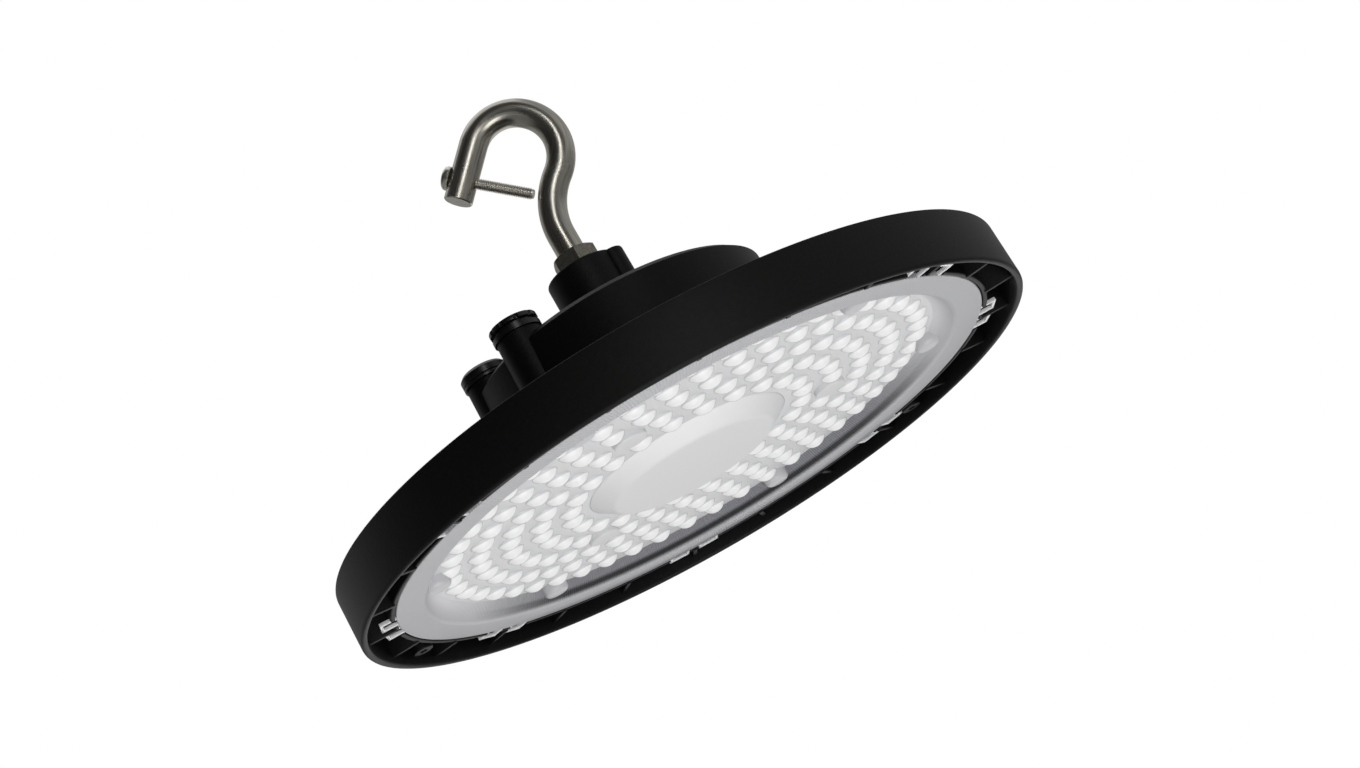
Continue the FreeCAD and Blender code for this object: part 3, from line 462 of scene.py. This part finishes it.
piece("lens_flange", [(114.2, 11.4), (115.4, 10.2), (120.2, 5.1), (121.5, 4.4), (133.2, 4.4),
                      (133.2, 6.8), (122.1, 6.8), (115.4, 13.4), (114.2, 13.4)],
      [0, 2, 2.5, 1.5, 0.5, 0.3, 0.5, 0.5, 0], "clear_lens", 384,
      hide=["lens_plate"])
floor_bm = bmesh.new()
spin(floor_bm, [(44.9, 11.4), (114.2, 11.4), (114.2, 13.4), (44.9, 13.4)], 288)
for turn in BLANKS:
    spin(floor_bm, soften([(0, 9.4), (7, 9.4), (7, 12.2), (0, 12.2)], [0, 0.8, 0, 0]), 48,
         place(BLANK_RING, turn))
finish_mesh("lens_floor", floor_bm, "lens_floor", LIGHT)
piece("lens_cap", [(0, 5.4), (36.2, 5.4), (44.9, 11.4), (43.7, 13.4), (35.1, 7.4), (0, 7.4)],
      [0, 5, 0.5, 0, 0, 0], "lens_cap", 192, sharp=60)

DOME_RADIUS = 5.3
DOME_CURVE = 6.18
DOME_TOP = 8.42
DOME_TILT = math.asin(DOME_RADIUS / DOME_CURVE)
DOME_STEPS, DOME_POINTS = 10, 28
dome_bm = bmesh.new()
loops(dome_bm, [hoop(DOME_RADIUS, 12.2, DOME_POINTS)] + [
    hoop(DOME_CURVE * math.sin(DOME_TILT * t / DOME_STEPS),
         DOME_TOP + DOME_CURVE * (1 - math.cos(DOME_TILT * t / DOME_STEPS)), DOME_POINTS)
    for t in range(DOME_STEPS, -1, -1)], caps=False)
bmesh.ops.remove_doubles(dome_bm, verts=dome_bm.verts, dist=WELD)
dome_mesh = bpy.data.meshes.new("dome_form")
dome_bm.to_mesh(dome_mesh)
dome_bm.free()
domes = bmesh.new()
for reach, azimuth in lens_places():
    before = len(domes.verts)
    domes.from_mesh(dome_mesh)
    domes.verts.ensure_lookup_table()
    x, y = place(reach, azimuth)
    bmesh.ops.translate(domes, verts=domes.verts[before:], vec=(x * MM, y * MM, 0))
bpy.data.meshes.remove(dome_mesh)
finish_mesh("lenslets", domes, "lens_dome", LIGHT, sharp=70)
COVER_CIRCLE = 113.5
covers = bmesh.new()
for k in range(6):
    spin(covers, soften([(0, 6.4), (5.9, 6.4), (5.9, 12.2), (0, 12.2)], [0, 3.2, 0, 0], 6), 48,
         place(COVER_CIRCLE, 15 + 60 * k))
finish_mesh("lens_covers", covers, "lens_cover", LIGHT)
TAB_FIRST = 8.3
TAB_SPREAD = 3.2
TAB_FOOT, TAB_THICKNESS = 4.6, 1.6
TAB = [(131.5, -5.15), (140.2, -5.15), (140.2, 5.15), (131.5, 5.15), (131.5, 3.85),
       (138.9, 3.85), (138.9, -3.85), (131.5, -3.85)]
tabs = bmesh.new()
for k in range(TABS):
    for spread in (-TAB_SPREAD, TAB_SPREAD):
        turn = Matrix.Rotation(math.radians(TAB_FIRST + spread + TAB_STEP * k), 4, "Z")
        thicken(tabs, [turn @ Vector((x, y, TAB_FOOT)) * MM for x, y in TAB],
                (0, 0, TAB_THICKNESS * MM), 0.2)
finish_mesh("lens_tabs", tabs, "lens_tab", LIGHT, sharp=50)

# Driver drum with the port columns, hook boss and lobe
piece("drum", [(62, 28), (71.5, 28), (71.5, 31.5), (67.6, 32.5), (65.8, 67.7), (62.8, 70),
               (47.5, 71.5), (16.3, 84), (12, 84), (12, 79.6), (47.5, 67.9), (59.6, 66.4),
               (62.6, 64.4), (64.4, 31.5), (62, 30.5)],
      [0.3, 0.6, 0.6, 2, 0.35, 0.35, 0, 1.5, 0, 0, 0, 0, 0, 0, 0], "black_coat",
      288, hide=["driver_housing"], sharp=25)
drum_parts = bmesh.new()
PORT_A, PORT_B = place(59.7, -124.7), place(58.7, -159.3)
SEAT_A, SEAT_B = 73.6, 73.0
for spot, seat in ((PORT_A, SEAT_A), (PORT_B, SEAT_B)):
    spin(drum_parts, soften([(7.2, 31.5), (10.3, 28), (9.58, seat), (8.5, seat),
                             (8.5, seat - 1), (6.2, seat - 1), (6.2, 56), (7.2, 56)],
                            [0, 0.5, 0.3, 0.2, 0, 0.2, 0, 0]), 72, spot)
spin(drum_parts, soften([(6.25, 84), (16.3, 80), (16.3, 102), (6.25, 102)], [0, 0, 1.2, 0.3]),
     96)
spin(drum_parts, [(0, 82), (6.3, 82), (6.3, 84), (0, 84)], 24)
spin(drum_parts, soften([(2.05, 88), (5.2, 78), (5.2, 101.6), (2.05, 101.6)],
                        [0, 0, 1.4, 0.3]), 48, place(14.9, -19.7))
finish_mesh("drum_bosses", drum_parts, "black_coat", LIGHT, sharp=40)

# Cable ports
piece("gland_shell", [(4.9, 60.5), (6.15, 60.5), (6.15, SEAT_B), (10.3, SEAT_B),
                      (10.3, SEAT_B + 1.5), (8.2, SEAT_B + 1.5), (8.2, SEAT_B + 4),
                      (4.9, SEAT_B + 4)], [0.2, 0.4, 0, 0.3, 0.3, 0, 0.3, 0.3], "gland_black",
      72, hide=["gland_body"], centre=PORT_B)
piece("gland_cap", [(8.25, SEAT_B + 1.7), (10.3, SEAT_B + 1.7), (10.3, SEAT_B + 4.5),
                    (8.8, SEAT_B + 6), (4.2, SEAT_B + 6), (4.2, SEAT_B + 4.4),
                    (8.25, SEAT_B + 4.4)], [0, 0.3, 0.5, 0.5, 0.4, 0.2, 0],
      "gland_black", 72, hide=["gland_nut"], centre=PORT_B)


NOTCHES = 10
NOTCH_DEPTH = 0.85
PLUG_RADIUS = 10.3
PLUG_POINTS = 120
PLUG_ROWS = ((3, 6, 0), (9.5, 6, 0), (10.0, 5.8, 1), (PLUG_RADIUS, 5.3, 1),
             (PLUG_RADIUS, 3.8, 1), (8.8, 3.5, 0), (8.8, 2.3, 0), (PLUG_RADIUS, 2, 0),
             (PLUG_RADIUS, 0, 0), (6.15, 0, 0), (6.15, -11.6, 0))


def notch_depth(azimuth):
    """How far a grip notch of 1 mm half width cuts in at an azimuth, in mm."""
    step = 360 / NOTCHES
    off = abs((azimuth + step / 2) % step - step / 2) / step * TAU * PLUG_RADIUS / NOTCHES
    return 0.0 if off > 1.0 else NOTCH_DEPTH * math.sqrt(1 - off * off)


plug_bm = bmesh.new()
rings = []
for r, up, notched in PLUG_ROWS:
    ring = []
    for i in range(PLUG_POINTS):
        a = TAU * i / PLUG_POINTS
        reach = r - notch_depth(math.degrees(a)) * notched
        ring.append(Vector((PORT_A[0] + reach * math.cos(a), PORT_A[1] + reach * math.sin(a),
                            SEAT_A + up)) * MM)
    rings.append(ring)
loops(plug_bm, rings)
finish_mesh("port_cap", plug_bm, "gland_black", LIGHT, hide=["port_plug"])

# Hook: one bent rod, swept along its path in the XZ plane
ROD = 6.19
ROD_CHAMFER = 0.4
ROD_POINTS = 56
NECK_BEND, LOOP_BEND, CROWN_BEND = 33.3, 21.15, 18.0
LEG_LENGTH = 26.1
END_ANGLE, CROWN_ANGLE, BEND = (math.radians(v) for v in (137.5, 49.5, 49.5))
ACROSS = Vector((0, 1, 0))
LEG = Vector((-math.sin(END_ANGLE), 0, math.cos(END_ANGLE)))
GATE = Vector((LEG.z, 0, -LEG.x))
NECK = Vector(NECK_CENTRE)


def on_arc(middle, radius, angle):
    """Point and direction on an arc in the XZ plane, run counter-clockwise."""
    return (middle + Vector((math.cos(angle), 0, math.sin(angle))) * radius,
            Vector((-math.sin(angle), 0, math.cos(angle))))


def rod_ring(middle, way, radius):
    """A ring of points about the rod's path."""
    out = way.cross(ACROSS)
    return [(middle + (ACROSS * math.cos(TAU * j / ROD_POINTS)
                       + out * math.sin(TAU * j / ROD_POINTS)) * radius) * MM
            for j in range(ROD_POINTS)]


LOOP = NECK + Vector((-math.cos(BEND), 0, math.sin(BEND))) * (NECK_BEND + LOOP_BEND)
CROWN = LOOP + Vector((math.cos(CROWN_ANGLE), 0, math.sin(CROWN_ANGLE))) * (
    LOOP_BEND - CROWN_BEND)
LEG_START = on_arc(CROWN, CROWN_BEND, END_ANGLE)[0]
path = [(Vector((0, 0, 84 + k * 2)), Vector((0, 0, 1))) for k in range(18)]
for k in range(25):
    point, way = on_arc(NECK, NECK_BEND, math.pi - BEND * k / 24)
    path.append((point, -way))
path += [on_arc(LOOP, LOOP_BEND, -BEND + (CROWN_ANGLE + BEND) * k / 36) for k in range(1, 37)]
path += [on_arc(CROWN, CROWN_BEND, CROWN_ANGLE + (END_ANGLE - CROWN_ANGLE) * k / 32)
         for k in range(1, 33)]
path += [(LEG_START + LEG * LEG_LENGTH * k / 12, LEG) for k in range(1, 13)]
rings = [rod_ring(point, way, ROD) for point, way in path[:-1]]
end, way = path[-1]
rings += [rod_ring(end - way * ROD_CHAMFER, way, ROD), rod_ring(end, way, ROD - ROD_CHAMFER)]
hook_bm = bmesh.new()
loops(hook_bm, rings)
finish_mesh("hook_rod", hook_bm, "hook_steel", LIGHT, hide=["hook"])


def hex_reach(angle, flats):
    """Distance from the axis to a hexagon's side at an angle, in mm."""
    return flats / 2 / math.cos(angle % (math.pi / 3) - math.pi / 6)


NUT_FLATS = 18.0
NUT_TURN = 40
NUT_POINTS = 144
NUT_FOOT, NUT_TOP = 102.0, 110.4
CHAMFER_FROM, CHAMFER_SLOPE = 8.9, 0.62
nut_bm = bmesh.new()
rings = []
for level, sign in ((NUT_FOOT, 1), (NUT_TOP, -1)):
    spokes = []
    for i in range(NUT_POINTS):
        a = TAU * i / NUT_POINTS
        reach = hex_reach(a - math.radians(NUT_TURN), NUT_FLATS)
        drop = max(0.0, reach - CHAMFER_FROM) * CHAMFER_SLOPE + 0.05
        way = Vector((math.cos(a), math.sin(a), 0))
        spokes.append((way * 6.25 + Vector((0, 0, level)),
                       way * min(reach - 0.05, 8.85) + Vector((0, 0, level)),
                       way * reach + Vector((0, 0, level + sign * drop))))
    face = [[spoke[k] * MM for spoke in spokes] for k in range(3)]
    rings += face if sign == 1 else face[::-1]
loops(nut_bm, rings + [rings[0]], caps=False)
finish_mesh("nut", nut_bm, "nut_steel", LIGHT, sharp=22, hide=["hook_nut"])

# Closing screw: a rolled thread under a pan head with a hexagon socket
PITCH = 1.0
THREAD = [1.96, 2.24, 2.5, 2.24]
STEPS = len(THREAD)
TURN_POINTS = 32
THREAD_FOOT, THREAD_LENGTH = -36.8, 36.6
SCREW_END = -37.0
HEAD_POINTS = 48
HEAD = ((2.0, 0), (5.0, 0), (5.2, 0.2), (5.2, 1.9), (4.9, 2.6), (4.2, 3.1), (3.1, 3.35),
        (2.0, 3.4))
SOCKET_FLATS = 3.0
HEAD_ALONG_LEG, HEAD_OFF_ROD = 16.6, 5.7
gate_bm = bmesh.new()
rows = []
for j in range(int(THREAD_LENGTH / PITCH) * STEPS):
    rows.append([])
    for i in range(TURN_POINTS):
        a = TAU * i / TURN_POINTS
        z = THREAD_FOOT + j * PITCH / STEPS + PITCH * i / TURN_POINTS
        taper = min(1.0, max(0.0, z - SCREW_END))
        radius = THREAD[j % STEPS] - (1 - taper) * 0.5
        rows[-1].append(gate_bm.verts.new(
            Vector((radius * math.cos(a), radius * math.sin(a), min(z, -0.05))) * MM))
for j in range(len(rows) - STEPS):
    for i in range(TURN_POINTS):
        if i < TURN_POINTS - 1:
            beside, above = rows[j][i + 1], rows[j + 1][i + 1]
        elif j + STEPS + 1 < len(rows):
            beside, above = rows[j + STEPS][0], rows[j + STEPS + 1][0]
        else:
            continue
        gate_bm.faces.new((rows[j][i], beside, above, rows[j + 1][i]))
loops(gate_bm, [hoop(1.9, SCREW_END, TURN_POINTS), hoop(2.0, SCREW_END + 0.4, TURN_POINTS),
                hoop(2.0, 0, TURN_POINTS)])
head = [hoop(r, z, HEAD_POINTS) for r, z in HEAD]
for z in (3.3, 1.4):
    head.append([])
    for i in range(HEAD_POINTS):
        a = TAU * i / HEAD_POINTS
        reach = hex_reach(a, SOCKET_FLATS)
        head[-1].append(Vector((reach * math.cos(a), reach * math.sin(a), z)) * MM)
loops(gate_bm, head)
seat = LEG_START + LEG * HEAD_ALONG_LEG + GATE * HEAD_OFF_ROD
turn = Vector((0, 0, 1)).rotation_difference(GATE).to_matrix().to_4x4()
bmesh.ops.transform(gate_bm, matrix=Matrix.Translation(seat * MM) @ turn, verts=gate_bm.verts)
finish_mesh("gate_screw_fine", gate_bm, "screw_steel", SCREW,
            hide=["gate_screw"])

# Every CAD node that stays shown takes the finish of its slot
slots = {part["node"]: part["material_slot"] for part in frame["record"]["subparts"]}
for name, node in frame["nodes"].items():
    node.data.materials.clear()
    node.data.materials.append(MATS[slots[name]])

# Studio: a pale floor far below, soft lights, and a world that the camera sees as white
FLOOR_LEVEL = -2.6
FLOOR_HALF = 40.0
floor_mesh = bpy.data.meshes.new("floor")
ground = bmesh.new()
bmesh.ops.create_grid(ground, x_segments=1, y_segments=1, size=FLOOR_HALF)
bmesh.ops.translate(ground, verts=ground.verts, vec=(0, 0, FLOOR_LEVEL))
ground.to_mesh(floor_mesh)
ground.free()
floor = bpy.data.objects.new("floor", floor_mesh)
bpy.context.scene.collection.objects.link(floor)
mat, tree = start("floor_white")[:2]
matte = add(tree, "ShaderNodeBsdfPrincipled", sockets={
    "Base Color": linear("#f2f2f2"), "Roughness": 0.9})
pale = add(tree, "ShaderNodeAddShader", feeds={0: matte.outputs[0], 1: add(
    tree, "ShaderNodeEmission", sockets={"Strength": 0.6}).outputs[0]})
close(tree, add(tree, "ShaderNodeMixShader", feeds={
    0: add(tree, "ShaderNodeLightPath").outputs["Is Camera Ray"],
    1: matte.outputs[0], 2: pale.outputs[0]}))
floor_mesh.materials.append(mat)

# Reflected world by bearing, -Y toward +X, in radians: dark front, grey sides, bright strip
SIDES = ((0.75, 1.15), (-1.6, -2.1))
SIDE_LEVEL = 0.42
STRIP_RISE, STRIP_FALL, STRIP_TOP = (0.24, 0.31), (0.45, 0.38), (0.6, 0.42)
STRIP_LEVEL = 6.0
FRONT_LEVEL = 0.03
world = bpy.data.worlds.new("studio")
bpy.context.scene.world = world
world.use_nodes = True
sky = world.node_tree
sky.nodes.clear()
rays = add(sky, "ShaderNodeLightPath")
ways = add(sky, "ShaderNodeSeparateXYZ", feeds={"Vector": add(
    sky, "ShaderNodeTexCoord").outputs["Generated"]}).outputs
bearing = maths(sky, "ARCTAN2", ways[0], maths(sky, "MULTIPLY", ways[1], -1.0))
right_glow, left_glow = (maths(sky, "MULTIPLY", fade(sky, bearing, *side), SIDE_LEVEL)
                         for side in SIDES)
strip = maths(sky, "MULTIPLY", fade(sky, bearing, *STRIP_RISE),
              fade(sky, bearing, *STRIP_FALL), fade(sky, ways[2], *STRIP_TOP), STRIP_LEVEL)
dim = add(sky, "ShaderNodeBackground", sockets={"Color": linear("#ffffff")}, feeds={
    "Strength": maths(sky, "ADD", right_glow, left_glow, strip, FRONT_LEVEL)})
bright = add(sky, "ShaderNodeBackground", sockets={
    "Color": linear("#ffffff"), "Strength": 1.0})
both = add(sky, "ShaderNodeMixShader", feeds={
    0: rays.outputs["Is Camera Ray"], 1: dim.outputs[0], 2: bright.outputs[0]})
add(sky, "ShaderNodeOutputWorld", feeds={"Surface": both.outputs[0]})


def softbox(name, spot, target, size, power):
    """A square area light of a size in metres at spot, facing target."""
    data = bpy.data.lights.new(name, "AREA")
    data.size = size
    data.energy = power
    lamp = bpy.data.objects.new(name, data)
    lamp.location = spot
    lamp.rotation_euler = (Vector(target) - Vector(spot)).to_track_quat("-Z", "Y").to_euler()
    bpy.context.scene.collection.objects.link(lamp)


softbox("below", (0.1, -0.5, -1.4), (0, 0, 0), 1.3, 9)
softbox("low_front", (0.2, -1.5, -1.1), (0, 0, 0), 1.0, 10)
softbox("low_back", (0, 1.6, -0.7), (0, 0, 0), 1.6, 6)
softbox("top", (-0.1, 0.35, 1.7), (0, 0, 0.05), 1.4, 4)

# Camera at the photo's angle, fitted to the photo's outlines with an assumed lens, in metres
CAMERA = Vector((0, -0.78237, -0.18805))
RIGHT = Vector((0.86558611, 0.12755293, -0.48424265))
UP = Vector((0.50056102, -0.24765898, 0.82952016))
AHEAD = Vector((0.01411931, 0.96041412, 0.2782182))
camera_data = bpy.data.cameras.new("camera")
camera_data.sensor_width = 36
camera_data.lens = 52.941
camera_data.clip_end = 50
camera = bpy.data.objects.new("camera", camera_data)
camera.matrix_world = Matrix.Translation(CAMERA) @ Matrix(
    (RIGHT, UP, -AHEAD)).transposed().to_4x4()
bpy.context.scene.collection.objects.link(camera)
bpy.context.scene.camera = camera
bpy.context.scene.view_settings.view_transform = "Standard"
